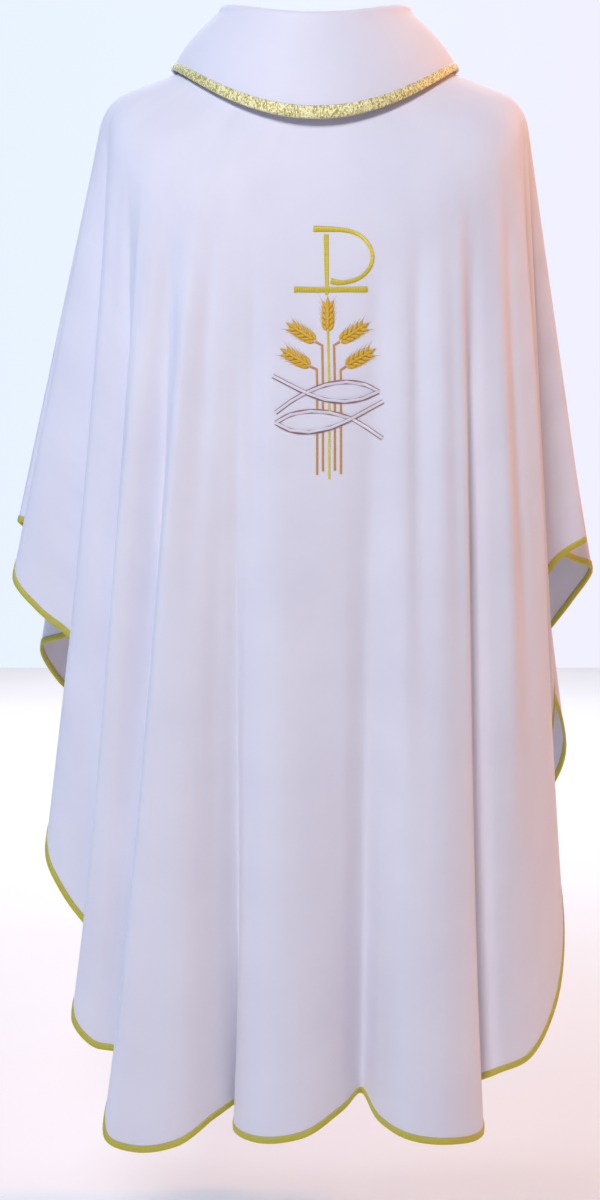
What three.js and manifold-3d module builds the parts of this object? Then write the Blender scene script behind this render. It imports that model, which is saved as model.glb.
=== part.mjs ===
// Gothic chasuble with a standing roll collar, gold bound edge and an embroidered front.
// Millimetres. +Z is up, the front faces -Y, +X is to the right as one faces the front.
// The origin is the centre of the neck opening at the height of the shoulders.
import * as THREE from "three";
import Module from "manifold-3d";

const wasm = await Module();
wasm.setup();

// ---------------------------------------------------------------- driving sizes
const CLOTH = 1.2;
const SEAM_GAP = 0.5;
const LAYER_GAP = 0.4;
const BINDING_GAP = 0.75;
const STITCH_GAP = 0.65;
const TAPE_GAP = 1;
const BACKING_GAP = 0.8;
const BACKING_CLOTH = 0.5;

const NECK_HALF_WIDTH = 122;
const NECK_HALF_DEPTH = 105;
const NECK_Z_SIDE = 10;
const NECK_Z_FRONT = -34;
const NECK_Z_BACK = -4;

const SHOULDER_REACH = 126;
const CHEST_REACH = 45;
const BACK_REACH = 45;
const SHOULDER_DROP = 48;
const CHEST_DROP = 134;
const BACK_DROP = 120;
const SHOULDER_SQUARENESS = 0.75;
const SHOULDER_ROUNDING = 34;
const CHEST_ROUNDING = 62;

const HEM_WIDTH_SCALE = 1;
const HEM_DROP_SCALE = 1;
const FOLD_DEPTH_SCALE = 1;
const FOLD_SPREAD = 95;
const FOLD_LATENESS = 0.9;
const MIDDLE_WIDTH = 22;
const HEM_FLARE = 0.22;

const COLUMN_PITCH = 23;
const COLUMN_TURN = 34;
const PANEL_ROWS = [0, 0.05, 0.1, 0.15, 0.21, 0.32, 0.48, 0.65, 0.82, 1];

const BINDING_WIDTH = 7;
const BINDING_CLOTH = 0.9;
const HEM_ROW_HEIGHT = 11;
const LIFT_PASSES = 40;
const MOST_LIFT = 2.2;
const MIN_HEM_SINE = 0.42;

const RIM_SETBACK_SIDE = 16;
const RIM_SETBACK = 15;
const RIM_RISE_SIDE = 56;
const RIM_RISE_FRONT = 79;
const RIM_RISE_BACK = 72;
const FALL_REACH_SIDE = 47;
const FALL_REACH_FRONT = 26;
const FALL_REACH_BACK = 21;
const FALL_DROP_SIDE = 11;
const FALL_DROP_FRONT = 40;
const FALL_DROP_BACK = 32;
const COLLAR_CLOTH = 1.6;
const ROLL_RADIUS = 8;
const FALL_BULGE = 7;
const STAND_INSET = 1.0;
const STAND_RISE = 0.4;
const BRAID_WIDTH = 12;
const BRAID_THICKNESS = 1.2;
const COLLAR_SEGMENTS = 48;

const FACING_DEPTH = 0.62;
const TAPE_WIDTH = 14;
const TAPE_THICKNESS = 0.7;

const THREAD = 1.2;
const MOTIF_X = 13;
const MOTIF_Z = -317;

// ---------------------------------------------------------------- course of the hem
// Each station: width x, depth y, height z, and the bearing in degrees of the shoulder
// ray it hangs from (0 left shoulder, 90 front, 180 right shoulder, 270 back).
const FRONT_HEM = [
  [-357, 10, -534, 0], [-320, -8, -550, 3], [-340, -22, -565, 5.5], [-357, -45, -600, 8],
  [-326, -64, -638, 11], [-286, -70, -672, 13.5], [-250, -66, -748, 16.5],
  [-285, -88, -829, 19.5], [-313, -118, -912, 24], [-294, -136, -957, 30],
  [-258, -146, -1002, 35], [-228, -150, -1030, 40],
  [-256, -170, -1050, 44.5], [-277, -188, -1093, 48], [-254, -200, -1121, 51.5],
  [-226, -196, -1129, 55], [-202, -192, -1142, 58.5],
  [-229, -224, -1173, 61.5], [-235, -248, -1215, 64.5], [-198, -260, -1226, 67.5],
  [-151, -262, -1217, 70.5], [-113, -232, -1195, 73.5], [-83, -194, -1186, 75.8],
  [-92, -232, -1209, 78], [-60, -266, -1214, 81.5], [-12, -270, -1206, 88],
  [29, -240, -1185, 95], [52, -196, -1176, 98.8],
  [70, -232, -1198, 101.5], [102, -262, -1211, 107], [148, -264, -1216, 116],
  [187, -232, -1214, 124], [178, -180, -1174, 128],
  [206, -190, -1156, 134], [245, -168, -1144, 142], [279, -125, -1093, 150],
  [292, -88, -1020, 156], [284, -64, -945, 160], [254, -46, -887, 163.5],
  [278, -30, -815, 167], [286, -22, -745, 170], [266, -8, -640, 173.5],
  [290, -6, -582, 176.5], [326, 10, -558, 180],
];
const BACK_HEM = [
  [296, 28, -570, 183.5], [314, 46, -582, 186], [340, 62, -594, 190],
  [320, 88, -634, 195], [298, 98, -665, 198.5], [268, 94, -705, 202],
  [300, 118, -760, 206], [318, 142, -830, 211], [296, 167, -890, 216], [252, 158, -930, 220],
  [270, 180, -985, 225], [284, 207, -1050, 229], [258, 234, -1102, 234],
  [208, 206, -1130, 239],
  [224, 238, -1165, 243], [207, 270, -1217, 248], [160, 284, -1255, 253],
  [116, 270, -1268, 258], [88, 224, -1262, 262],
  [64, 246, -1280, 265], [34, 277, -1298, 268.5], [-14, 286, -1304, 272],
  [-60, 271, -1296, 276], [-88, 226, -1270, 279.5],
  [-112, 256, -1275, 283], [-150, 281, -1258, 288], [-200, 272, -1220, 293],
  [-227, 240, -1172, 297], [-207, 206, -1132, 302],
  [-256, 228, -1100, 307], [-283, 198, -1040, 312], [-264, 174, -975, 316],
  [-245, 154, -925, 320],
  [-292, 158, -884, 325], [-318, 136, -824, 330], [-270, 114, -780, 336],
  [-318, 103, -738, 341], [-337, 70, -690, 346], [-299, 47, -672, 350],
  [-278, 34, -626, 353.5], [-328, 27, -562, 357],
];

const STATIONS = [...FRONT_HEM, ...BACK_HEM];
const RIGHT_SEAM = FRONT_HEM.length - 1;
const RING = STATIONS.length;

// Soft ripples where the cloth slackens between two folds: bearing and width in degrees,
// depth, and the share of the way down at which they are deepest.
const RIPPLES = [
  [22, 2.4, -6, 0.55], [31, 2.6, -3, 0.34], [36, 2.8, -15, 0.46], [44, 2.6, 5, 0.4],
  [49, 3, 5, 0.45], [56, 2.8, -13, 0.44], [64, 2.4, 5, 0.3], [69, 2, -4, 0.22],
  [72.5, 2.8, -8, 0.55], [79, 2.2, -4, 0.2], [84, 3.4, 2, 0.6], [92, 3, -2, 0.62],
  [101, 2.2, -2.5, 0.2], [106, 2.6, 1.5, 0.5], [111, 2.2, -5, 0.24], [118, 2.8, 4, 0.3],
  [124, 2.4, 5, 0.34], [130, 3.2, -5, 0.4], [140, 3.2, 7, 0.46], [147, 2.8, -3, 0.36],
  [156, 3, 4, 0.4], [220, 3.2, -10, 0.4], [240, 3.4, -10, 0.45], [262, 3.6, -8, 0.5],
  [280, 3.6, -8, 0.5], [302, 3.4, -10, 0.42], [322, 3.2, -8, 0.36],
];
const RIPPLE_LENGTH = 0.26;

const hemPoints = STATIONS.map(([x, y, z]) =>
  new THREE.Vector3(x * HEM_WIDTH_SCALE, y, z * HEM_DROP_SCALE));
const hemCurve = new THREE.CatmullRomCurve3(hemPoints, true, "centripetal");
const hemAt = (k) => hemCurve.getPoint((((k % RING) + RING) % RING) / RING);

function bearingAt(k) {
  const i = Math.floor(k);
  const from = STATIONS[((i % RING) + RING) % RING][3];
  const next = STATIONS[(((i + 1) % RING) + RING) % RING][3];
  const to = next < from ? next + 360 : next;
  return THREE.MathUtils.degToRad(from + (to - from) * (k - i));
}

// The same hem with its folds evened out, used to make the folds grow from nothing.
const SMOOTH_SAMPLES = RING * 4;
const samples = [];
let girth = 0;
for (let i = 0; i < SMOOTH_SAMPLES; i += 1) {
  const point = hemAt((i / SMOOTH_SAMPLES) * RING);
  if (i > 0) girth += point.distanceTo(samples[i - 1].point);
  samples.push({ point, at: girth });
}
const closing = samples[0].point.distanceTo(samples[SMOOTH_SAMPLES - 1].point);
girth += closing;
samples.forEach((one, i) => {
  const next = samples[(i + 1) % SMOOTH_SAMPLES].at || girth;
  const last = samples[(i + SMOOTH_SAMPLES - 1) % SMOOTH_SAMPLES].at;
  one.share = ((next - last + girth) % girth) / 2;
});
function evenedAt(k) {
  const wrapped = ((k % RING) + RING) % RING;
  const place = (wrapped / RING) * SMOOTH_SAMPLES;
  const i = Math.floor(place) % SMOOTH_SAMPLES;
  const next = samples[(i + 1) % SMOOTH_SAMPLES].at || girth;
  const at = samples[i].at + (next - samples[i].at) * (place - Math.floor(place));
  const sum = new THREE.Vector3();
  let weight = 0;
  for (const one of samples) {
    const far = Math.abs(one.at - at);
    const apart = Math.min(far, girth - far);
    const share = one.share * Math.exp(-(apart ** 2) / (2 * FOLD_SPREAD ** 2));
    sum.addScaledVector(one.point, share);
    weight += share;
  }
  return sum.multiplyScalar(1 / weight);
}

// ---------------------------------------------------------------- neck, shoulders, rays
const sideShare = (a) => Math.cos(a) ** 2;
const rounded = (v, power) => Math.sign(v) * Math.abs(v) ** power;
const blend = (a, side, front, back) =>
  side * sideShare(a) + (Math.sin(a) >= 0 ? front : back) * (1 - sideShare(a));

function neckPoint(a) {
  return new THREE.Vector3(-NECK_HALF_WIDTH * Math.cos(a), -NECK_HALF_DEPTH * Math.sin(a),
    blend(a, NECK_Z_SIDE, NECK_Z_FRONT, NECK_Z_BACK));
}

function shoulderPoint(a) {
  const halfWidth = NECK_HALF_WIDTH + SHOULDER_REACH;
  const depth = NECK_HALF_DEPTH + (Math.sin(a) >= 0 ? CHEST_REACH : BACK_REACH);
  return new THREE.Vector3(
    -halfWidth * rounded(Math.cos(a), SHOULDER_SQUARENESS),
    -depth * rounded(Math.sin(a), SHOULDER_SQUARENESS),
    blend(a, NECK_Z_SIDE - SHOULDER_DROP, NECK_Z_FRONT - CHEST_DROP, NECK_Z_BACK - BACK_DROP));
}

// One ray of cloth: from the neck over the shoulder and down to the hem, s from 0 to 1.
function makeRay(k) {
  const a = bearingAt(k);
  const neck = neckPoint(a);
  const knee = shoulderPoint(a);
  const hem = hemAt(k);
  const even = evenedAt(k);
  const fold = hem.clone().sub(even);
  const offMiddle = THREE.MathUtils.radToDeg(Math.asin(Math.abs(Math.cos(a))));
  const late = FOLD_LATENESS * (0.25 + 0.75 * Math.exp(-((offMiddle / MIDDLE_WIDTH) ** 2)));
  const power = 1 + late * (1 - Math.abs(Math.cos(a)) ** 3);
  const flare = HEM_FLARE * (1 - Math.abs(Math.cos(a)) ** 8);
  const deep = (t) => FOLD_DEPTH_SCALE * ((1 - flare) * t ** power + flare * t ** 8);
  const reach = knee.distanceTo(hem);
  const outward = new THREE.Vector3(-Math.cos(a), -Math.sin(a), 0);
  const turn = (THREE.MathUtils.radToDeg(a) + 360) % 360;
  const near = RIPPLES.map(([at, width]) => Math.exp(-(((turn - at) / width) ** 2)));
  const ripple = (t) => {
    const sum = RIPPLES.reduce((all, [, , depth, at], i) =>
      all + near[i] * depth * Math.exp(-(((t - at) / RIPPLE_LENGTH) ** 2)), 0);
    return sum * FOLD_DEPTH_SCALE * (1 - t ** 6) * Math.min(1, t / 0.12) ** 2;
  };
  const below = (t) => knee.clone().lerp(even, t).addScaledVector(fold, deep(t))
    .addScaledVector(outward, ripple(t));
  const rounding = THREE.MathUtils.lerp(CHEST_ROUNDING, SHOULDER_ROUNDING, sideShare(a));
  const upper = neck.distanceTo(knee);
  const start = knee.clone().lerp(neck, rounding / upper);
  const end = below(rounding / reach);
  const bend = rounding * 1.6;
  const total = upper - rounding + bend + reach - rounding;
  const first = (upper - rounding) / total;
  const second = (upper - rounding + bend) / total;
  const at = (s) => {
    if (s <= first) return neck.clone().lerp(start, s / first);
    if (s >= second) {
      return below((rounding + ((s - second) / (1 - second)) * (reach - rounding)) / reach);
    }
    const q = (s - first) / (second - first);
    const left = start.clone().lerp(knee, q);
    const right = knee.clone().lerp(end, q);
    return left.lerp(right, q);
  };
  return { at, total };
}

// ---------------------------------------------------------------- panel grids
// A grid holds the middle surface of one panel: columns along the hem, rows down it.
const hemRun = (k) => hemAt(k + 0.01).sub(hemAt(k - 0.01)).normalize();
function turningOver(k) {
  let sum = 0;
  for (let i = 0; i < 8; i += 1) sum += hemRun(k + i / 8).angleTo(hemRun(k + (i + 1) / 8));
  return THREE.MathUtils.radToDeg(sum);
}
function columnPlaces(from, to) {
  const places = [];
  for (let k = from; k < to; k += 1) {
    const span = hemAt(k).distanceTo(hemAt(k + 1));
    const parts = Math.max(2, Math.round(span / COLUMN_PITCH),
      Math.ceil(turningOver(k) / COLUMN_TURN));
    for (let i = 0; i < parts; i += 1) places.push(k + i / parts);
  }
  return places;
}

// How much longer than square a step up the ray must be where the hem climbs along it.
function slantAt(k) {
  const ray = makeRay(k);
  const along = makeRay(k + 0.02).at(1).sub(makeRay(k - 0.02).at(1)).normalize();
  const down = ray.at(1).sub(ray.at(0.99)).normalize();
  return 1 / Math.max(MIN_HEM_SINE, along.cross(down).length());
}

// The step that lifts a corner by one off every small face that meets in it.
function liftAt(points, i, j) {
  const faces = [];
  const round = points.length;
  const face = (...corners) => {
    const [p, q, r] = corners.map(([x, y]) => points[(x + round) % round][y]);
    if (!p || !q || !r) return;
    faces.push(q.clone().sub(p).cross(r.clone().sub(p)).negate().normalize());
  };
  face([i, j], [i + 1, j], [i, j + 1]);
  face([i - 1, j], [i, j], [i - 1, j + 1]);
  face([i, j], [i, j + 1], [i - 1, j + 1]);
  face([i, j - 1], [i + 1, j - 1], [i, j]);
  face([i + 1, j - 1], [i + 1, j], [i, j]);
  face([i, j - 1], [i, j], [i - 1, j]);
  const lift = new THREE.Vector3();
  faces.forEach((normal) => lift.add(normal));
  lift.normalize();
  for (let pass = 0; pass < LIFT_PASSES; pass += 1) {
    for (const normal of faces) {
      const short = 1 - normal.dot(lift);
      if (short > 0) lift.addScaledVector(normal, short);
    }
  }
  return lift.clampLength(1, MOST_LIFT);
}

const columnAt = (k) => {
  const ray = makeRay(k);
  const hemRow = 1 - (HEM_ROW_HEIGHT * slantAt(k)) / ray.total;
  return [...PANEL_ROWS.map((r) => r * hemRow), 1].map((s) => ray.at(s));
};
const frontColumns = columnPlaces(0, RIGHT_SEAM).map(columnAt);
const backColumns = columnPlaces(RIGHT_SEAM, RING).map(columnAt);
const allColumns = [...frontColumns, ...backColumns];
const allLifts = allColumns.map((column, i) => column.map((p, j) => liftAt(allColumns, i, j)));

function gridOf(first, columns) {
  const turn = (list) => [...list, list[0]].slice(first, first + columns + 1);
  return { points: turn(allColumns), normals: turn(allLifts), columns, rows: PANEL_ROWS.length };
}
const front = gridOf(0, frontColumns.length);
const back = gridOf(frontColumns.length, backColumns.length);

// Point on a grid at column place c and row place r, lifted n off the middle surface.
// Each cell is two triangles, split the same way on the outer and the inner face.
function onGrid(grid, c, r, n) {
  const i = Math.min(grid.columns - 1, Math.max(0, Math.floor(c)));
  const j = Math.min(grid.rows - 1, Math.max(0, Math.floor(r)));
  const u = c - i;
  const v = r - j;
  const corner = (di, dj) =>
    grid.points[i + di][j + dj].clone().addScaledVector(grid.normals[i + di][j + dj], n);
  const weights = u + v <= 1 ? [1 - u - v, u, v, 0] : [0, 1 - v, 1 - u, u + v - 1];
  return new THREE.Vector3()
    .addScaledVector(corner(0, 0), weights[0]).addScaledVector(corner(1, 0), weights[1])
    .addScaledVector(corner(0, 1), weights[2]).addScaledVector(corner(1, 1), weights[3]);
}

// ---------------------------------------------------------------- body builders
const group = new THREE.Group();
const WHITE = { color: 0xf3f2f6, roughness: 0.72, metalness: 0 };
const LINING = { color: 0xe9e8ec, roughness: 0.85, metalness: 0 };
const GOLD = { color: 0xc2b23e, roughness: 0.42, metalness: 0.35 };
const BRIGHT_GOLD = { color: 0xd9c420, roughness: 0.35, metalness: 0.45 };
const WHEAT = { color: 0xdf9d1f, roughness: 0.5, metalness: 0.15 };
const STRAW = { color: 0xc98232, roughness: 0.55, metalness: 0.1 };
const SILVER = { color: 0xd9d4dd, roughness: 0.35, metalness: 0.4 };

function addBody(name, geometry, look) {
  geometry.computeVertexNormals();
  const mesh = new THREE.Mesh(geometry, new THREE.MeshStandardMaterial(look));
  mesh.name = name;
  group.add(mesh);
}

// Moves every vertex of a geometry through a function of its own position.
function warped(geometry, place) {
  const position = geometry.attributes.position;
  const v = new THREE.Vector3();
  for (let i = 0; i < position.count; i += 1) {
    v.fromBufferAttribute(position, i);
    const p = place(v);
    position.setXYZ(i, p.x, p.y, p.z);
  }
  return geometry;
}

// Sheet with a face each side: nu by nv cells, place(u, v, side) with side -1 in, 1 out.
// Both faces split each cell from its near foot to its far top; a turned row the other way.
function sheetGeometry(nu, nv, place, turned = () => false) {
  const box = new THREE.BoxGeometry(nu, nv, 1, nu, nv, 1);
  for (const face of box.groups.slice(4)) {
    for (let cell = 0; cell < nu * nv; cell += 1) {
      const isFront = face === box.groups[4];
      if (turned(Math.floor(cell / nu)) !== isFront) continue;
      const at = face.start + cell * 6;
      const [a, b, d, c] = [0, 1, 2, 4].map((n) => box.index.getX(at + n));
      [a, b, c, a, c, d].forEach((corner, n) => box.index.setX(at + n, corner));
    }
  }
  return warped(box, (v) =>
    place(Math.round(v.x + nu / 2), Math.round(nv / 2 - v.y), Math.sign(v.z)));
}

// Ring of closed section: the section's corners are given for each bearing in turn.
function ringGeometry(corners, segments, section) {
  const outline = [];
  for (let i = 0; i <= corners; i += 1) {
    const turn = (i / corners) * Math.PI * 2;
    outline.push(new THREE.Vector2(3 + Math.sin(turn), Math.cos(turn)));
  }
  const lathe = new THREE.LatheGeometry(outline, segments);
  const position = lathe.attributes.position;
  for (let i = 0; i <= segments; i += 1) {
    const list = section(((i % segments) / segments) * Math.PI * 2);
    for (let j = 0; j <= corners; j += 1) {
      const p = list[j % corners];
      position.setXYZ(i * (corners + 1) + j, p.x, p.y, p.z);
    }
  }
  return lathe;
}

// ---------------------------------------------------------------- panels
function panelBody(name, grid) {
  const inset = SEAM_GAP / 2;
  addBody(name, sheetGeometry(grid.columns, grid.rows, (i, j, side) => {
    const p = onGrid(grid, i, j, (side * CLOTH) / 2);
    if (i === 0) {
      const to = onGrid(grid, 1, j, (side * CLOTH) / 2).sub(p);
      p.addScaledVector(to.normalize(), inset);
    }
    if (i === grid.columns) {
      const to = onGrid(grid, grid.columns - 1, j, (side * CLOTH) / 2).sub(p);
      p.addScaledVector(to.normalize(), inset);
    }
    return p;
  }), WHITE);
}
panelBody("front_panel", front);
panelBody("back_panel", back);

// ---------------------------------------------------------------- bound edge
// A strip folded round the hem: down the outer face, under the edge and up the inner face,
// where its cells are turned so that they lie flat against those of the panel.
function bindingBody(name, grid) {
  addBody(name, sheetGeometry(grid.columns, 3, (i, j, side) => {
    const extra = side > 0 ? BINDING_CLOTH : 0;
    const up = j === 0 || j === 3 ? BINDING_WIDTH : -BINDING_GAP - extra;
    const lift = (j < 2 ? 1 : -1) * (CLOTH / 2 + BINDING_GAP + extra);
    const p = onGrid(grid, i, grid.rows - up / HEM_ROW_HEIGHT, lift);
    if (i > 0 && i < grid.columns) return p;
    const next = onGrid(grid, i === 0 ? 1 : i - 1, grid.rows - up / HEM_ROW_HEIGHT, lift);
    return p.addScaledVector(next.sub(p).normalize(), SEAM_GAP / 2);
  }, (j) => j === 2), GOLD);
}
bindingBody("front_edge_binding", front);
bindingBody("back_edge_binding", back);

// ---------------------------------------------------------------- shoulder seam tapes
// Inside the shoulder seams, from below the neck facing down to the bound edge.
function tapeBody(name, ahead, aheadEnd, behind, behindEnd) {
  const rows = ahead.rows;
  const firstRow = 3;
  const lift = -(CLOTH / 2 + TAPE_GAP);
  const across = (grid, atEnd, row, depth) => {
    const seam = atEnd ? grid.columns : 0;
    const next = atEnd ? seam - 1 : 1;
    const gap = grid.points[seam][row].distanceTo(grid.points[next][row]);
    const share = Math.min(1, TAPE_WIDTH / 2 / gap);
    return onGrid(grid, seam + (next - seam) * share, row, depth);
  };
  addBody(name, sheetGeometry(1, rows - 1 - firstRow, (i, j, side) => {
    const row = j + firstRow;
    const depth = lift - (side > 0 ? 0 : TAPE_THICKNESS);
    return i === 0 ? across(ahead, aheadEnd, row, depth) : across(behind, behindEnd, row, depth);
  }), LINING);
}
tapeBody("left_shoulder_seam_tape", back, true, front, false);
tapeBody("right_shoulder_seam_tape", front, true, back, false);

// ---------------------------------------------------------------- collar
function collarRing(a, halfWidth, depthFront, depthBack, side, frontZ, backZ) {
  const depth = Math.sin(a) >= 0 ? depthFront : depthBack;
  return new THREE.Vector3(-halfWidth * Math.cos(a), -depth * Math.sin(a),
    blend(a, side, frontZ, backZ));
}
const rimHalfWidth = NECK_HALF_WIDTH - RIM_SETBACK_SIDE;
const rimHalfDepth = NECK_HALF_DEPTH - RIM_SETBACK;
const rimRing = (a) => collarRing(a, rimHalfWidth, rimHalfDepth, rimHalfDepth,
  NECK_Z_SIDE + RIM_RISE_SIDE, NECK_Z_FRONT + RIM_RISE_FRONT, NECK_Z_BACK + RIM_RISE_BACK);
const fallRing = (a) => collarRing(a, NECK_HALF_WIDTH + FALL_REACH_SIDE,
  NECK_HALF_DEPTH + FALL_REACH_FRONT, NECK_HALF_DEPTH + FALL_REACH_BACK,
  NECK_Z_SIDE - FALL_DROP_SIDE, NECK_Z_FRONT - FALL_DROP_FRONT, NECK_Z_BACK - FALL_DROP_BACK);

// The level outward direction of the collar at one bearing.
function collarFrame(a) {
  const out = new THREE.Vector3(-Math.cos(a) * rimHalfDepth, -Math.sin(a) * rimHalfWidth, 0);
  return out.normalize();
}

// Middle line of the fall from its lower edge to the roll, and over it to the inside.
function fallLine(a) {
  const out = collarFrame(a);
  const up = new THREE.Vector3(0, 0, 1);
  const rim = rimRing(a);
  const low = fallRing(a);
  const high = rim.clone().addScaledVector(out, ROLL_RADIUS);
  const line = [];
  for (const s of [0, BRAID_WIDTH / 95, 0.3, 0.5, 0.7, 0.88]) {
    const p = low.clone().lerp(high, s);
    line.push(p.addScaledVector(out, FALL_BULGE * Math.sin(Math.PI * s) * 0.9));
  }
  for (const turn of [10, 50, 90, 130, 170]) {
    const t = THREE.MathUtils.degToRad(turn);
    line.push(rim.clone().addScaledVector(out, ROLL_RADIUS * Math.cos(t))
      .addScaledVector(up, ROLL_RADIUS * Math.sin(t)));
  }
  line.push(rim.clone().addScaledVector(out, -ROLL_RADIUS - 0.5).addScaledVector(up, -9));
  return line;
}

// Closed section around a middle line, from lift lo to lift hi on its outer side.
function thickened(line, lo, hi) {
  const side = line.map((p, i) => {
    const from = line[Math.max(0, i - 1)];
    const to = line[Math.min(line.length - 1, i + 1)];
    const run = to.clone().sub(from);
    const level = new THREE.Vector3(-line[0].y, line[0].x, 0).normalize();
    return run.cross(level).normalize();
  });
  const outside = line.map((p, i) => p.clone().addScaledVector(side[i], hi));
  const inside = line.map((p, i) => p.clone().addScaledVector(side[i], lo));
  return [...inside, ...outside.reverse()];
}

function collarBody(name, lineOf, lo, hi, look) {
  const corners = thickened(lineOf(0), lo, hi).length;
  const section = (a) => thickened(lineOf(a), lo, hi);
  addBody(name, ringGeometry(corners, COLLAR_SEGMENTS, section), look);
}

collarBody("collar_fall", fallLine, -COLLAR_CLOTH / 2, COLLAR_CLOTH / 2, WHITE);
const braidLift = COLLAR_CLOTH / 2 + LAYER_GAP;
collarBody("collar_braid", (a) => fallLine(a).slice(0, 2), braidLift,
  braidLift + BRAID_THICKNESS, GOLD);
collarBody("collar_interfacing", (a) => fallLine(a).slice(1, 6), -braidLift - 0.7,
  -braidLift, LINING);

// The stand rises from the neck seam and ends behind the turned-in lip of the fall.
function standLine(a) {
  const out = collarFrame(a);
  const foot = neckPoint(a).addScaledVector(out, -STAND_INSET);
  foot.z += STAND_RISE;
  const top = rimRing(a).addScaledVector(out, -ROLL_RADIUS + 1.6);
  top.z -= 3;
  const line = [];
  for (const s of [0, 0.35, 0.7, 1]) {
    const p = foot.clone().lerp(top, s);
    line.push(p.addScaledVector(out, -4 * Math.sin(Math.PI * s)));
  }
  return line;
}
collarBody("collar_stand", standLine, -CLOTH / 2, CLOTH / 2, WHITE);

// Facing inside the neck edge, lying against the inner face of the panels.
function facingLine(a) {
  const neck = neckPoint(a);
  const knee = shoulderPoint(a);
  const run = knee.clone().sub(neck);
  const level = new THREE.Vector3(-neck.y, neck.x, 0).normalize();
  const inward = run.clone().cross(level).normalize();
  if (inward.z > 0) inward.negate();
  const far = 1 - (THREE.MathUtils.lerp(CHEST_ROUNDING, SHOULDER_ROUNDING, sideShare(a)) + 6)
    / run.length();
  const depth = CLOTH / 2 + LAYER_GAP + 1;
  return [0, 0.3, 0.65, 1].map((part) =>
    neck.clone().addScaledVector(run, THREE.MathUtils.lerp(0.02, far * FACING_DEPTH, part))
      .addScaledVector(inward, depth));
}
collarBody("neck_facing", facingLine, -0.4, 0.4, LINING);

// ---------------------------------------------------------------- embroidery
// Finds the place on the front grid whose middle surface lies at the given x and z.
function findOnFront(x, z) {
  let c = front.columns / 2;
  let r = 3;
  for (let step = 0; step < 40; step += 1) {
    const here = onGrid(front, c, r, 0);
    const dc = onGrid(front, c + 0.01, r, 0).sub(here).divideScalar(0.01);
    const dr = onGrid(front, c, r + 0.01, 0).sub(here).divideScalar(0.01);
    const ex = x - here.x;
    const ez = z - here.z;
    const det = dc.x * dr.z - dr.x * dc.z;
    const moveC = (ex * dr.z - dr.x * ez) / det;
    const moveR = (dc.x * ez - ex * dc.z) / det;
    c += THREE.MathUtils.clamp(moveC, -4, 4);
    r = THREE.MathUtils.clamp(r + THREE.MathUtils.clamp(moveR, -1, 1), 0.01, front.rows - 0.01);
    if (Math.abs(moveC) + Math.abs(moveR) < 1e-7) break;
  }
  return [c, r];
}

function ontoFront(geometry, base) {
  return warped(geometry, (v) => {
    const [c, r] = findOnFront(MOTIF_X + v.x, MOTIF_Z + v.y);
    return onGrid(front, c, r, base + v.z);
  });
}

const STITCH_BASE = CLOTH / 2 + STITCH_GAP;
function flatBody(shape, thickness) {
  return new THREE.ExtrudeGeometry(shape, { depth: thickness, steps: 1, bevelEnabled: false });
}

// Ribbon of varying width along a smooth line through the given points.
function ribbonShape(points, widths, cells) {
  const line = new THREE.SplineCurve(points.map(([x, y]) => new THREE.Vector2(x, y)));
  const left = [];
  const right = [];
  for (let i = 0; i <= cells; i += 1) {
    const t = i / cells;
    const p = line.getPoint(t);
    const d = line.getTangent(t);
    const place = t * (widths.length - 1);
    const w = Math.min(widths.length - 2, Math.floor(place));
    const width = THREE.MathUtils.lerp(widths[w], widths[w + 1], place - w) / 2;
    left.push(new THREE.Vector2(p.x - d.y * width, p.y + d.x * width));
    right.push(new THREE.Vector2(p.x + d.y * width, p.y - d.x * width));
  }
  return new THREE.Shape([...left, ...right.reverse()]);
}

// Straight-sided band through a few corners, cut into short cells along its length.
function bandShape(points, width, pitch) {
  const corners = points.map(([x, y]) => new THREE.Vector2(x, y));
  const left = [];
  const right = [];
  corners.forEach((p, i) => {
    const before = corners[Math.max(0, i - 1)];
    const after = corners[Math.min(corners.length - 1, i + 1)];
    const run = after.clone().sub(before).normalize();
    const side = new THREE.Vector2(-run.y, run.x).multiplyScalar(width / 2);
    const cells = i === 0 ? 1 : Math.max(1, Math.round(p.distanceTo(before) / pitch));
    for (let c = 1; c <= cells; c += 1) {
      if (i === 0) {
        left.push(p.clone().add(side));
        right.push(p.clone().sub(side));
      } else {
        const from = left[left.length - 1];
        const fromRight = right[right.length - 1];
        const share = 1 / (cells - c + 1);
        left.push(from.clone().lerp(p.clone().add(side), share));
        right.push(fromRight.clone().lerp(p.clone().sub(side), share));
      }
    }
  });
  return new THREE.Shape([...left, ...right.reverse()]);
}

function toManifold(geometry) {
  const position = geometry.attributes.position;
  const seen = new Map();
  const vertices = [];
  const triangles = [];
  for (let i = 0; i < position.count; i += 1) {
    const corner = [position.getX(i), position.getY(i), position.getZ(i)];
    const key = corner.map((n) => n.toFixed(4)).join(",");
    if (!seen.has(key)) {
      seen.set(key, vertices.length / 3);
      vertices.push(...corner);
    }
    triangles.push(seen.get(key));
  }
  return new wasm.Manifold(new wasm.Mesh({
    numProp: 3,
    vertProperties: Float32Array.from(vertices),
    triVerts: Uint32Array.from(triangles),
  }));
}

function fromManifold(solid) {
  const mesh = solid.getMesh();
  const geometry = new THREE.BufferGeometry();
  const corners = new Float32Array(mesh.vertProperties);
  geometry.setAttribute("position", new THREE.BufferAttribute(corners, 3));
  geometry.setIndex(new THREE.BufferAttribute(new Uint32Array(mesh.triVerts), 1));
  return geometry;
}

const BOWL = [[-16, 117], [11, 116.5], [29, 113.5], [43, 104.5], [50, 91], [50, 81], [45, 69],
  [35, 61], [25, 57.5], [13, 56.3], [3.2, 58.5]];
addBody("monogram_bowl", ontoFront(flatBody(
  ribbonShape(BOWL, [6.6, 4.8, 3.6, 3.4, 3.4, 3.6, 3.8, 3.6, 4.2, 5.6], 26), THREAD),
  STITCH_BASE), BRIGHT_GOLD);

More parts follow.
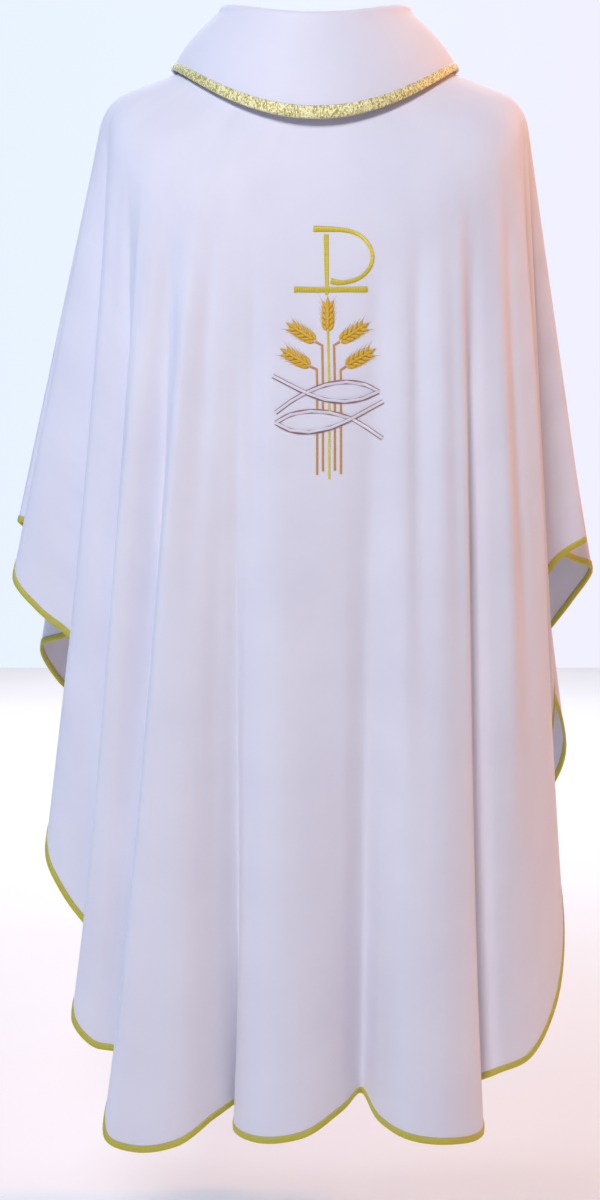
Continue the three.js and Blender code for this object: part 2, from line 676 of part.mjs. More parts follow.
const stem = toManifold(flatBody(bandShape([[-1.6, 110.6], [-0.8, 43]], 4.8, 9), THREAD));
const bar = toManifold(flatBody(bandShape([[-38, 48.8], [45, 48.8]], 5.4, 7), THREAD));
const cross = fromManifold(stem.add(bar).refineToLength(9));
addBody("monogram_cross", ontoFront(cross, STITCH_BASE), BRIGHT_GOLD);

// Wheat ear: rows of grains either side of a middle line, narrowing to the tip.
const EAR_LENGTH = 38;
const EAR_HALF_WIDTH = 8.4;
const EAR_GRAINS = 5;
function earShape() {
  const side = [];
  for (let g = 0; g < EAR_GRAINS; g += 1) {
    const from = g / EAR_GRAINS;
    const wide = EAR_HALF_WIDTH * (0.78 + 0.3 * Math.sin(Math.PI * (from * 0.9 + 0.12)));
    side.push([wide * 0.62, EAR_LENGTH * from]);
    side.push([wide * 0.9, EAR_LENGTH * (from + 0.09)]);
    side.push([wide, EAR_LENGTH * (from + 0.2)]);
  }
  const rightSide = side.map(([x, y]) => new THREE.Vector2(x, y));
  const leftSide = side.map(([x, y]) => new THREE.Vector2(-x, y)).reverse();
  const tip = [new THREE.Vector2(2.2, EAR_LENGTH * 0.96), new THREE.Vector2(0, EAR_LENGTH * 1.04),
    new THREE.Vector2(-2.2, EAR_LENGTH * 0.96)];
  return new THREE.Shape([...rightSide, ...tip, ...leftSide]);
}
const EARS = [
  ["wheat_ear_centre", 0, 1.5, 0],
  ["wheat_ear_upper_left", -13.5, -9.5, 58],
  ["wheat_ear_upper_right", 13.5, -9.5, -58],
  ["wheat_ear_lower_left", -19.5, -37.5, 60],
  ["wheat_ear_lower_right", 20.2, -37.5, -60],
];
for (const [name, x, y, lean] of EARS) {
  const flat = flatBody(earShape(), THREAD);
  flat.rotateZ(THREE.MathUtils.degToRad(lean));
  flat.translate(x, y, 0);
  addBody(name, ontoFront(flat, STITCH_BASE), WHEAT);
}

// Five stalks, each worked in three stretches that stop at the outlines of the fish.
const STALK_WIDTH = 2.4;
const STALKS = [
  ["lower_left", [[-19, -38.4], [-12.2, -41], [-11.8, -57.5]], -78, -86, -115, -160, STRAW],
  ["upper_left", [[-12.4, -11], [-6.1, -14], [-5.3, -55]], -80, -85.5, -114.5, -156, STRAW],
  ["centre", [[0.6, 0.2], [1.8, -53]], -81, -86.5, -112.5, -165, BRIGHT_GOLD],
  ["upper_right", [[12.4, -11], [7.2, -14], [8.1, -51.5]], -82, -87.5, -110, -155, STRAW],
  ["lower_right", [[19.6, -38.4], [14.6, -42], [15, -50.5]], -82, -90, -106.5, -159, STRAW],
];
for (const [name, top, middleTop, middleEnd, lowTop, lowEnd, look] of STALKS) {
  const x = top[top.length - 1][0];
  const pieces = [
    ["top", bandShape(top, STALK_WIDTH, 9)],
    ["middle", bandShape([[x, middleTop], [x, middleEnd]], STALK_WIDTH, 9)],
    ["foot", bandShape([[x, lowTop], [x, lowEnd]], STALK_WIDTH, 12)],
  ];
  for (const [part, shape] of pieces) {
    addBody(`stalk_${name}_${part}`, ontoFront(flatBody(shape, THREAD), STITCH_BASE), look);
  }
}

// Each fish is two crossing ribbons joined into one body at the nose and the tail.
const FISH_WIDTH = 3.4;
const UPPER_FISH = [
  [[58, -66.3], [42, -58.5], [21, -55.6], [-3, -59.2], [-24.4, -67.8], [-42, -78], [-58.5, -90.2]],
  [[58, -66.3], [38, -74.6], [19, -77.6], [-3, -75.4], [-24.4, -67.8], [-43, -58.6], [-61.5, -49]],
];
const LOWER_FISH = [
  [[-58.6, -101.6], [-42, -92.6], [-19, -88.6], [3, -90.2], [26.8, -97], [44, -107], [62, -118.8]],
  [[-58.6, -101.6], [-42, -109.8], [-21, -112], [3, -107.2], [26.8, -97], [44, -87.4], [63, -77.4]],
];
for (const [name, lines] of [["fish_upper", UPPER_FISH], ["fish_lower", LOWER_FISH]]) {
  const [one, two] = lines.map((line) =>
    toManifold(flatBody(ribbonShape(line, [FISH_WIDTH, FISH_WIDTH], 18), THREAD)));
  addBody(name, ontoFront(fromManifold(one.add(two).refineToLength(9)), STITCH_BASE), SILVER);
}

// Stabiliser behind the embroidery, on the inner face of the front panel.
const BACKING_HALF_WIDTH = 72;
const BACKING_TOP = 126;
const BACKING_FOOT = -174;
addBody("embroidery_backing", sheetGeometry(14, 12, (i, j, side) => {
  const x = MOTIF_X - BACKING_HALF_WIDTH + (2 * BACKING_HALF_WIDTH * i) / 14;
  const z = MOTIF_Z + BACKING_TOP + ((BACKING_FOOT - BACKING_TOP) * j) / 12;
  const [c, r] = findOnFront(x, z);
  return onGrid(front, c, r, -(CLOTH / 2 + BACKING_GAP) - (side > 0 ? 0 : BACKING_CLOTH));
}), LINING);

export default group;
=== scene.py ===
# %% [markdown]
# A gothic chasuble is a very wide cloak of thin crepe with a hole for the head. It has no
# stiffening except at the collar and the bound edge, so its whole look is the way it hangs.
# The shared frame is opened first.

# %% Open the shared frame
import bpy
import math
import numpy as np
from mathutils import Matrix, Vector
from mathutils.bvhtree import BVHTree


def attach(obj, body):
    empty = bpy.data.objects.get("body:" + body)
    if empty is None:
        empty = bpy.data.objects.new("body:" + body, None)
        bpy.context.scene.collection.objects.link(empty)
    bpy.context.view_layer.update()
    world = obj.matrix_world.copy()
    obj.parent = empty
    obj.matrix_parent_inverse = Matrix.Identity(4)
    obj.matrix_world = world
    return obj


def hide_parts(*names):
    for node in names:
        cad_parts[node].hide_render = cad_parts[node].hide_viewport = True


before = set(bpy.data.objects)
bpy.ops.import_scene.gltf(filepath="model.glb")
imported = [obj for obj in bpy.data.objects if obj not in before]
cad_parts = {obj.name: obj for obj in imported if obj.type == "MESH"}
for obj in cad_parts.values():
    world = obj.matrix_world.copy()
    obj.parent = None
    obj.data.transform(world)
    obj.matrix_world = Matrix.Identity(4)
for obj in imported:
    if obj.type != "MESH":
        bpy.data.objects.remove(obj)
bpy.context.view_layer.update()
bpy.ops.object.select_all(action="DESELECT")

# %% [markdown]
# The sizes are the sewing sizes of the garment, in metres, and the places where each fold
# reaches the hem. A fold is easiest to think of at the hem, where it is widest: it starts
# at a point on the shoulder and opens as it falls.

# %% Sizes of the garment
NECK = dict(half_width=0.122, half_depth=0.105, side=0.010, front=-0.034, back=-0.004)
SHOULDER = dict(half_width=0.248, depth=0.150, side=-0.038, front=-0.168, back=-0.124)
SQUARENESS = 0.75
SHOULDER_ROUNDING = 0.034
CHEST_ROUNDING = 0.062
FOLD_SPREAD = 0.095
LATENESS = 0.9
MIDDLE_WIDTH = 22.0
FLARE = 0.22
CLOTH = 0.0009
COLLAR_CLOTH = 0.0016
INSIDE_GAP = 0.0016
BINDING_WIDTH = 0.0062
MOTIF = Vector((0.013, 0.0, -0.317))
print("neck opening", 2 * NECK["half_width"], "m wide")

# %% Where the hem runs: x, y, z in millimetres and the bearing of the ray it hangs from
FRONT_HEM = [
    [-357, 10, -534, 0], [-320, -8, -550, 3], [-340, -22, -565, 5.5], [-357, -45, -600, 8],
    [-326, -64, -638, 11], [-286, -70, -672, 13.5], [-250, -66, -748, 16.5],
    [-285, -88, -829, 19.5], [-313, -118, -912, 24], [-294, -136, -957, 30],
    [-258, -146, -1002, 35], [-228, -150, -1030, 40],
    [-256, -170, -1050, 44.5], [-277, -188, -1093, 48], [-254, -200, -1121, 51.5],
    [-226, -196, -1129, 55], [-202, -192, -1142, 58.5],
    [-229, -224, -1173, 61.5], [-235, -248, -1215, 64.5], [-198, -260, -1226, 67.5],
    [-151, -262, -1217, 70.5], [-113, -232, -1195, 73.5], [-83, -194, -1186, 75.8],
    [-92, -232, -1209, 78], [-60, -266, -1214, 81.5], [-12, -270, -1206, 88],
    [29, -240, -1185, 95], [52, -196, -1176, 98.8],
    [70, -232, -1198, 101.5], [102, -262, -1211, 107], [148, -264, -1216, 116],
    [187, -232, -1214, 124], [178, -180, -1174, 128],
    [206, -190, -1156, 134], [245, -168, -1144, 142], [279, -125, -1093, 150],
    [292, -88, -1020, 156], [284, -64, -945, 160], [254, -46, -887, 163.5],
    [278, -30, -815, 167], [286, -22, -745, 170], [266, -8, -640, 173.5],
    [290, -6, -582, 176.5], [326, 10, -558, 180],
]
BACK_HEM = [
    [296, 28, -570, 183.5], [314, 46, -582, 186], [340, 62, -594, 190],
    [320, 88, -634, 195], [298, 98, -665, 198.5], [268, 94, -705, 202],
    [300, 118, -760, 206], [318, 142, -830, 211], [296, 167, -890, 216],
    [252, 158, -930, 220],
    [270, 180, -985, 225], [284, 207, -1050, 229], [258, 234, -1102, 234],
    [208, 206, -1130, 239],
    [224, 238, -1165, 243], [207, 270, -1217, 248], [160, 284, -1255, 253],
    [116, 270, -1268, 258], [88, 224, -1262, 262],
    [64, 246, -1280, 265], [34, 277, -1298, 268.5], [-14, 286, -1304, 272],
    [-60, 271, -1296, 276], [-88, 226, -1270, 279.5],
    [-112, 256, -1275, 283], [-150, 281, -1258, 288], [-200, 272, -1220, 293],
    [-227, 240, -1172, 297], [-207, 206, -1132, 302],
    [-256, 228, -1100, 307], [-283, 198, -1040, 312], [-264, 174, -975, 316],
    [-245, 154, -925, 320],
    [-292, 158, -884, 325], [-318, 136, -824, 330], [-270, 114, -780, 336],
    [-318, 103, -738, 341], [-337, 70, -690, 346], [-299, 47, -672, 350],
    [-278, 34, -626, 353.5], [-328, 27, -562, 357],
]
STATIONS = np.array(FRONT_HEM + BACK_HEM, float)
HEM = STATIONS[:, :3] / 1000
RING = len(HEM)
RIGHT_SEAM = len(FRONT_HEM) - 1
print(RING, "places along the hem")

# %% [markdown]
# A smooth curve goes through the hem places. Evening that curve out gives the hem the cloth
# would have with no folds at all, and the folds are then added back little by little from
# the shoulder to the hem.

# %% The curve of the hem
def hem_at(k):
    k = np.mod(k, RING)
    i = np.floor(k).astype(int)
    t = (k - i)[:, None]
    p0, p1, p2, p3 = (HEM[(i + n) % RING] for n in (-1, 0, 1, 2))
    d0, d1, d2 = (np.sqrt(np.linalg.norm(b - a, axis=1))[:, None]
                  for a, b in ((p0, p1), (p1, p2), (p2, p3)))
    m1 = ((p1 - p0) / d0 - (p2 - p0) / (d0 + d1) + (p2 - p1) / d1) * d1
    m2 = ((p2 - p1) / d1 - (p3 - p1) / (d1 + d2) + (p3 - p2) / d2) * d1
    return (p1 + m1 * t + (3 * (p2 - p1) - 2 * m1 - m2) * t ** 2
            + (2 * (p1 - p2) + m1 + m2) * t ** 3)


def bearing_at(k):
    turns = np.floor(k / RING)
    places = np.arange(RING + 1)
    bearings = np.append(STATIONS[:, 3], 360.0)
    return np.radians(np.interp(k - turns * RING, places, bearings) + 360 * turns)


samples = hem_at(np.arange(RING * 4) / 4)
steps = np.linalg.norm(np.roll(samples, -1, axis=0) - samples, axis=1)
along_hem = np.concatenate([[0], np.cumsum(steps)])
girth = along_hem[-1]
shares = (steps + np.roll(steps, 1)) / 2


def evened_at(k):
    here = np.interp(np.mod(k, RING) * 4, np.arange(RING * 4 + 1), along_hem)
    apart = np.abs(here[:, None] - along_hem[None, :-1])
    apart = np.minimum(apart, girth - apart)
    weight = shares[None, :] * np.exp(-apart ** 2 / (2 * FOLD_SPREAD ** 2))
    return weight @ samples / weight.sum(axis=1)[:, None]


print("the hem is", round(girth, 2), "m round")


# %% [markdown]
# One ray of cloth leaves the neck edge, bends over the shoulder or chest and falls to the
# hem. Small soft ripples are laid over it where thin cloth slackens between two folds.

# %% Rays of cloth from neck to hem
RIPPLES = [
    # bearing and width in degrees, depth in millimetres, and the share of the way down
    # from the shoulder at which the ripple is deepest
    (22, 2.4, -10, 0.55), (31, 2.6, -4, 0.34), (36, 2.8, -21, 0.46), (44, 2.6, 6, 0.4),
    (49, 3, 7, 0.45), (56, 2.8, -18, 0.44), (64, 2.4, 6, 0.3), (69, 2, -4, 0.22),
    (72.5, 2.8, -8, 0.55), (79, 2.2, -4, 0.2), (84, 3.4, 2, 0.6), (92, 3, -2, 0.62),
    (101, 2.2, -2.5, 0.2), (106, 2.6, 1.5, 0.5), (111, 2.2, -5, 0.24), (118, 2.8, 4, 0.3),
    (124, 2.4, 5, 0.34), (130, 3.2, -7, 0.4), (140, 3.2, 9, 0.46), (147, 2.8, -6, 0.36),
    (156, 3, 6, 0.4), (220, 3.2, -10, 0.4), (240, 3.4, -10, 0.45), (262, 3.6, -8, 0.5),
    (280, 3.6, -8, 0.5), (302, 3.4, -10, 0.42), (322, 3.2, -8, 0.36),
]
RIPPLE_LENGTH = 0.26


def blended(a, part):
    side = np.cos(a) ** 2
    middle = np.where(np.sin(a) >= 0, part["front"], part["back"])
    return part["side"] * side + middle * (1 - side)


def squared(v):
    return np.sign(v) * np.abs(v) ** SQUARENESS


def neck_at(a):
    return np.stack([-NECK["half_width"] * np.cos(a), -NECK["half_depth"] * np.sin(a),
                     blended(a, NECK)], axis=1)


def shoulder_at(a):
    return np.stack([-SHOULDER["half_width"] * squared(np.cos(a)),
                     -SHOULDER["depth"] * squared(np.sin(a)), blended(a, SHOULDER)], axis=1)


def cloth_at(k, s):
    """Middle of the cloth: k along the hem, s from 0 at the neck to 1 at the hem."""
    k = np.asarray(k, float)
    s = np.asarray(s, float)
    if s.ndim == 1:
        s = np.broadcast_to(s, (len(k), len(s)))
    a = bearing_at(k)
    neck, knee, hem, even = neck_at(a), shoulder_at(a), hem_at(k), evened_at(k)
    fold = hem - even
    off_middle = np.degrees(np.arcsin(np.abs(np.cos(a))))
    late = LATENESS * (0.25 + 0.75 * np.exp(-(off_middle / MIDDLE_WIDTH) ** 2))
    power = 1 + late * (1 - np.abs(np.cos(a)) ** 3)
    flare = FLARE * (1 - np.abs(np.cos(a)) ** 8)
    reach = np.linalg.norm(hem - knee, axis=1)
    upper = np.linalg.norm(neck - knee, axis=1)
    rounding = CHEST_ROUNDING + (SHOULDER_ROUNDING - CHEST_ROUNDING) * np.cos(a) ** 2
    outward = np.stack([-np.cos(a), -np.sin(a), 0 * a], axis=1)
    turn = np.degrees(a) % 360

    def below(t):
        deep = (1 - flare)[:, None] * t ** power[:, None] + flare[:, None] * t ** 8
        p = (knee[:, None] + (even - knee)[:, None] * t[..., None]
             + fold[:, None] * deep[..., None])
        soft = 0
        for centre, width, depth, at in RIPPLES:
            near = np.exp(-((turn - centre) / width) ** 2)[:, None]
            soft = soft + (near * depth / 1000 * (1 - t ** 6)
                           * np.exp(-((t - at) / RIPPLE_LENGTH) ** 2))
        soft = soft * np.clip(t / 0.12, 0, 1) ** 2
        return p + outward[:, None] * soft[..., None]

    start = knee + (neck - knee) * (rounding / upper)[:, None]
    end = below((rounding / reach)[:, None])[:, 0]
    bend = rounding * 1.6
    total = upper - rounding + bend + reach - rounding
    first = ((upper - rounding) / total)[:, None]
    second = ((upper - rounding + bend) / total)[:, None]
    q = np.clip((s - first) / (second - first), 0, 1)[..., None]
    left = start[:, None] * (1 - q) + knee[:, None] * q
    right = knee[:, None] * (1 - q) + end[:, None] * q
    bent = left * (1 - q) + right * q
    top = neck[:, None] + (start - neck)[:, None] * np.clip(s / first, 0, 1)[..., None]
    t = (rounding[:, None] + np.clip((s - second) / (1 - second), 0, 1)
         * (reach - rounding)[:, None]) / reach[:, None]
    low = below(t)
    over = (s <= first)[..., None]
    under = (s >= second)[..., None]
    return np.where(over, top, np.where(under, low, bent)), total


print("a ray over the chest is", round(float(cloth_at([25.0], [0, 1])[1][0]), 3), "m long")

# %% [markdown]
# Cloth is made as a grid of points that follows the thread of the fabric, because a sheet
# that hangs in folds has no primitive to start from. The grid carries its own map in
# metres, so that weave and stitches follow the cloth and not the room.

# %% A sheet from rows of points
def sheet_object(name, points, closed=False, closed_down=False):
    n, m = points.shape[:2]
    verts = points.reshape(-1, 3)
    faces, maps = [], []
    down = np.concatenate([[0], np.cumsum(np.linalg.norm(
        np.diff(points[n // 2], axis=0), axis=1))])
    across = np.concatenate([[0], np.cumsum(np.linalg.norm(
        np.diff(points[:, m // 2], axis=0), axis=1))])
    across = np.append(across, across[-1] + (across[1] if closed else 0))
    down = np.append(down, down[-1] + (down[1] if closed_down else 0))
    for i in range(n if closed else n - 1):
        for j in range(m if closed_down else m - 1):
            i2, j2 = (i + 1) % n, (j + 1) % m
            faces.append((i * m + j, i * m + j2, i2 * m + j2, i2 * m + j))
            maps += [(across[i], -down[j]), (across[i], -down[j + 1]),
                     (across[i + 1], -down[j + 1]), (across[i + 1], -down[j])]
    mesh = bpy.data.meshes.new(name)
    mesh.from_pydata(verts.tolist(), [], faces)
    layer = mesh.uv_layers.new(name="thread")
    layer.data.foreach_set("uv", np.array(maps, float).ravel())
    mesh.shade_smooth()
    piece = bpy.data.objects.new(name, mesh)
    bpy.context.collection.objects.link(piece)
    return piece


def pick(piece):
    bpy.ops.object.select_all(action="DESELECT")
    piece.select_set(True)
    bpy.context.view_layer.objects.active = piece


def apply_modifier(piece, kind, **settings):
    pick(piece)
    modifier = piece.modifiers.new(kind.title(), kind)
    for key, value in settings.items():
        setattr(modifier, key, value)
    bpy.ops.object.modifier_apply(modifier=modifier.name)


def thicken(piece, thickness):
    apply_modifier(piece, "SOLIDIFY", thickness=thickness, offset=0.0,
                   use_even_offset=False)


def face_outward(piece, close_ends=False):
    pick(piece)
    bpy.ops.object.mode_set(mode="EDIT")
    if close_ends:
        bpy.ops.mesh.select_all(action="DESELECT")
        bpy.ops.mesh.select_mode(type="EDGE")
        bpy.ops.mesh.select_non_manifold()
        bpy.ops.mesh.edge_face_add()
    bpy.ops.mesh.select_all(action="SELECT")
    bpy.ops.mesh.normals_make_consistent(inside=False)
    bpy.ops.object.mode_set(mode="OBJECT")


def grid_normals(points):
    normal = -np.cross(np.gradient(points, axis=0), np.gradient(points, axis=1))
    return normal / np.linalg.norm(normal, axis=2, keepdims=True)


# %% [markdown]
# The front and back panels are cut from neck to hem and joined at the shoulders. The rows
# of the grid are closer at the shoulder and at the hem, where the cloth bends most.

# %% The two panels
COLUMNS_PER_PLACE = 7
ROWS = np.concatenate([np.linspace(0, 0.2, 27)[:-1], np.linspace(0.2, 0.92, 56)[:-1],
                       np.linspace(0.92, 1, 20)])


def panel_points(start, end):
    k = np.linspace(start, end, (end - start) * COLUMNS_PER_PLACE + 1)
    return cloth_at(k, ROWS)[0]


front_points = panel_points(0, RIGHT_SEAM)
back_points = panel_points(RIGHT_SEAM, RING)
front_cloth = sheet_object("front_panel_cloth", front_points)
back_cloth = sheet_object("back_panel_cloth", back_points)
print("front", front_points.shape, "back", back_points.shape)

# %% Find the cloth under a point, seen from the front
front_tree = BVHTree.FromPolygons([v.co[:] for v in front_cloth.data.vertices],
                                  [p.vertices[:] for p in front_cloth.data.polygons])


def front_surface(x, z):
    place, normal, _, _ = front_tree.ray_cast(Vector((x, -1.0, z)), Vector((0, 1, 0)))
    return place, (normal if normal.y < 0 else -normal)


# No pattern of the cut is known, so the cloth in each panel is added up as it hangs.
thicken(front_cloth, CLOTH)
thicken(back_cloth, CLOTH)
print("cloth under the motif at y", round(front_surface(MOTIF.x, MOTIF.z)[0].y, 4))

# %% [markdown]
# The edge is bound with a strip of gold cloth folded over it. Its section is a flat loop
# around the raw edge, a little fuller at the fold, and it follows the hem all the way.

# %% The bound edge
def binding_points(start, end):
    k = np.linspace(start, end, (end - start) * COLUMNS_PER_PLACE + 1)
    near, total = cloth_at(k, np.array([0.997, 1.0]))
    hem = near[:, 1]
    along = np.gradient(hem, axis=0)
    along /= np.linalg.norm(along, axis=1, keepdims=True)
    down = hem - near[:, 0]
    down /= np.linalg.norm(down, axis=1, keepdims=True)
    slant = 1 / np.maximum(0.42, np.linalg.norm(np.cross(along, down), axis=1))
    section = [(BINDING_WIDTH, 0.0008), (BINDING_WIDTH - 0.0006, 0.0014),
               (BINDING_WIDTH * 0.55, 0.0015), (0.0014, 0.0016), (-0.0008, 0.0012),
               (-0.0015, 0.0), (-0.0008, -0.0012), (0.0014, -0.0016),
               (BINDING_WIDTH * 0.55, -0.0015), (BINDING_WIDTH - 0.0006, -0.0014),
               (BINDING_WIDTH, -0.0008)]
    rings = []
    for up, lift in section:
        s = 1 - np.clip(up, 0, None) * slant / total
        rows = cloth_at(k, np.stack([s - 0.004, s], axis=1))[0]
        surface = rows[:, 1]
        run = rows[:, 1] - rows[:, 0]
        normal = -np.cross(np.gradient(surface, axis=0), run)
        normal /= np.linalg.norm(normal, axis=1, keepdims=True)
        extra = down * max(-up, 0)
        rings.append(surface + extra + normal * lift)
    return np.stack(rings, axis=1)


def bound_edge(name, start, end):
    edge = sheet_object(name, binding_points(start, end), closed_down=True)
    face_outward(edge, close_ends=True)
    return edge


front_edge = bound_edge("front_edge_gold", 0, RIGHT_SEAM)
back_edge = bound_edge("back_edge_gold", RIGHT_SEAM, RING)
print("bound edges have", len(front_edge.data.polygons), "and",
      len(back_edge.data.polygons), "faces")

# %% [markdown]
# The collar is a wide band that stands up from the neck, rolls over at the top and falls
# outwards to rest on the shoulders. A light interfacing keeps it smooth.

# %% The roll collar
COLLAR_SIDES = 220
ROLL = 0.008
FALL_BULGE = 0.0063
RIM = dict(half_width=0.106, front_depth=0.090, back_depth=0.090,
           side=0.066, front=0.045, back=0.068)
FALL_EDGE = dict(half_width=0.169, front_depth=0.131, back_depth=0.126,
                 side=-0.001, front=-0.074, back=-0.036)
collar_turn = np.linspace(0, 2 * math.pi, COLLAR_SIDES, endpoint=False)


def collar_ring(a, ring):
    depth = np.where(np.sin(a) >= 0, ring["front_depth"], ring["back_depth"])
    return np.stack([-ring["half_width"] * np.cos(a), -depth * np.sin(a),
                     blended(a, ring)], axis=1)


rim = collar_ring(collar_turn, RIM)
low = collar_ring(collar_turn, FALL_EDGE)
level = np.stack([-np.cos(collar_turn) * RIM["front_depth"],
                  -np.sin(collar_turn) * RIM["half_width"], 0 * collar_turn], axis=1)
level /= np.linalg.norm(level, axis=1, keepdims=True)
upright = np.array([0, 0, 1.0])
high = rim + level * ROLL


def fall_line(s):
    return low + (high - low) * s + level * (FALL_BULGE * np.sin(math.pi * s))


fall_rows = [fall_line(s) for s in np.linspace(0, 0.93, 26)]
for turn in np.radians(np.linspace(8, 172, 14)):
    fall_rows.append(rim + level * ROLL * math.cos(turn) + upright * ROLL * math.sin(turn))
for drop in (0.003, 0.006, 0.009):
    fall_rows.append(rim - level * (ROLL + 0.0005) - upright * drop)
fall_grid = np.stack(fall_rows[::-1], axis=1)
collar_fall = sheet_object("collar_fall_cloth", fall_grid, closed=True)
thicken(collar_fall, COLLAR_CLOTH)

foot = neck_at(collar_turn) - level * 0.001 + upright * 0.0004
top = rim - level * (ROLL - 0.0016) - upright * 0.003
stand_rows = [foot + (top - foot) * s - level * 0.004 * math.sin(math.pi * s)
              for s in np.linspace(0, 1, 14)]
collar_stand = sheet_object("collar_stand_cloth", np.stack(stand_rows[::-1], axis=1),
                            closed=True)
thicken(collar_stand, 0.0011)
print("collar rim is", round(float(np.ptp(rim[:, 0])), 3), "m across")

# %% The glitter braid along the collar's lower edge
BRAID_SHARE = 0.122
braid_section = [(0.0, 0.0002), (0.0, 0.0010), (0.10, 0.0014), (0.5, 0.0015), (0.9, 0.0014),
                 (1.0, 0.0010), (1.0, 0.0002)]
braid_rows = []
for part, lift in braid_section:
    s = part * BRAID_SHARE
    here, ahead = fall_line(s), fall_line(s + 0.01)
    run = ahead - here
    out = np.cross(np.roll(here, -1, axis=0) - here, run)
    out /= -np.linalg.norm(out, axis=1, keepdims=True)
    out *= np.sign((out * level).sum(axis=1, keepdims=True))
    braid_rows.append(here + out * (lift + COLLAR_CLOTH / 2))
braid = sheet_object("collar_braid_gold", np.stack(braid_rows[::-1], axis=1), closed=True,
                     closed_down=True)
face_outward(braid)
print("braid has", len(braid.data.polygons), "faces")

# %% [markdown]
# Inside the garment the neck edge is faced, the shoulder seams are taped and the
# embroidery is backed, so that the inside is as finished as the outside.

# %% Facing, tapes and backing
TAPE_REACH = 0.16
BACKING = dict(half_width=0.072, above=0.126, below=0.174, columns=40, rows=70, gap=0.0018)


def facing_points():
    a = collar_turn
    neck, knee = neck_at(a), shoulder_at(a)
    run = knee - neck
    out = np.cross(np.roll(neck, -1, axis=0) - neck, run)
    out /= np.linalg.norm(out, axis=1, keepdims=True)
    inward = out * -np.sign(out[:, 2:3])
    length = np.linalg.norm(run, axis=1)
    rounding = CHEST_ROUNDING + (SHOULDER_ROUNDING - CHEST_ROUNDING) * np.cos(a) ** 2
    far = (1 - (rounding + 0.006) / length) * 0.62
    rows = [neck + run * (0.02 + (far[:, None] - 0.02) * s) + inward * INSIDE_GAP
            for s in np.linspace(0, 1, 8)]
    return np.stack(rows, axis=1)


neck_facing = sheet_object("neck_facing_cloth", facing_points(), closed=True)
thicken(neck_facing, 0.0007)


def tape_points(seam):
    places = seam + np.linspace(-TAPE_REACH, TAPE_REACH, 7)
    rows = cloth_at(places, np.linspace(0.06, 0.97, 90))[0]
    return rows - grid_normals(rows) * INSIDE_GAP


left_tape = sheet_object("left_seam_tape_cloth", tape_points(0.0))
right_tape = sheet_object("right_seam_tape_cloth", tape_points(float(RIGHT_SEAM)))
for tape in (left_tape, right_tape):
    thicken(tape, 0.0005)

backing_x = MOTIF.x + np.linspace(-BACKING["half_width"], BACKING["half_width"],
                                  BACKING["columns"])
backing_z = MOTIF.z + np.linspace(BACKING["above"], -BACKING["below"], BACKING["rows"])
backing_grid = np.zeros((BACKING["columns"], BACKING["rows"], 3))
for i, x in enumerate(backing_x):
    for j, z in enumerate(backing_z):
        place, normal = front_surface(x, z)
        backing_grid[i, j] = place - normal * BACKING["gap"]
backing = sheet_object("embroidery_backing_cloth", backing_grid)
thicken(backing, 0.0005)
print("inside pieces are in place")

# %% [markdown]
# The embroidery is satin stitch: threads laid side by side across a shape, so that it
# stands up as a rounded ridge. A line with a round section is drawn flat in front of the
# garment, made a mesh, pressed to a low ridge and then laid on the cloth point by point.

# %% A ridge of satin stitch along a line
STITCH_FOOT = 0.0005


def stitched_line(name, points, widths, height=0.0011, cells=6, sides=3, smooth=True,
                  lift=0.0):
    curve = bpy.data.curves.new(name, "CURVE")
    curve.dimensions = "3D"
    curve.bevel_depth = 0.5
    curve.bevel_resolution = sides
    curve.use_fill_caps = True
    curve.resolution_u = cells
    spline = curve.splines.new("BEZIER" if smooth else "POLY")
    knots = spline.bezier_points if smooth else spline.points
    knots.add(len(points) - 1)
    sizes = np.interp(np.linspace(0, 1, len(points)), np.linspace(0, 1, len(widths)), widths)
    for knot, (x, z), size in zip(knots, points, sizes):
        place = (x / 1000, 0, z / 1000)
        if smooth:
            knot.co = place
            knot.handle_left_type = knot.handle_right_type = "AUTO"
        else:
            knot.co = (*place, 1)
        knot.radius = size / 1000
    piece = bpy.data.objects.new(name, curve)
    bpy.context.collection.objects.link(piece)
    pick(piece)
    bpy.ops.object.convert(target="MESH")
    line = np.array(points, float) / 1000
    return lay_down(piece, line, max(widths) / 1000, height, lift)


def lay_down(piece, line, width, height, lift=0.0):
    """Press a piece drawn in front of the garment to its height and lay it on the cloth."""
    mesh = piece.data
    seg = np.diff(line, axis=0)
    seg_len = np.maximum(np.linalg.norm(seg, axis=1), 1e-9)
    run = np.concatenate([[0], np.cumsum(seg_len)])
    flat = []
    for v in mesh.vertices:
        x, y, z = v.co
        rel = np.array([x, z]) - line[:-1]
        part = np.clip((rel * seg).sum(axis=1) / seg_len ** 2, 0, 1)
        off = rel - seg * part[:, None]
        near = int(np.argmin((off ** 2).sum(axis=1)))
        side = (seg[near, 0] * off[near, 1] - seg[near, 1] * off[near, 0]) / seg_len[near]
        flat.append((run[near] + part[near] * seg_len[near], side / width))
        place, normal = front_surface(MOTIF.x + x, MOTIF.z + z)
        v.co = place + normal * (STITCH_FOOT + lift + (width / 2 - y) / width * height)
    layer = mesh.uv_layers.get("stitch") or mesh.uv_layers.new(name="stitch")
    for loop in mesh.loops:
        layer.data[loop.index].uv = flat[loop.vertex_index]
    for other in [u.name for u in mesh.uv_layers if u.name != "stitch"]:
        mesh.uv_layers.remove(mesh.uv_layers[other])
    mesh.shade_smooth()
    return piece


def joined(name, pieces):
    bpy.ops.object.select_all(action="DESELECT")
    for piece in pieces:
        piece.select_set(True)
    bpy.context.view_layer.objects.active = pieces[0]
    bpy.ops.object.join()
    whole = bpy.context.view_layer.objects.active
    whole.name = name
    whole.data.name = name
    return whole


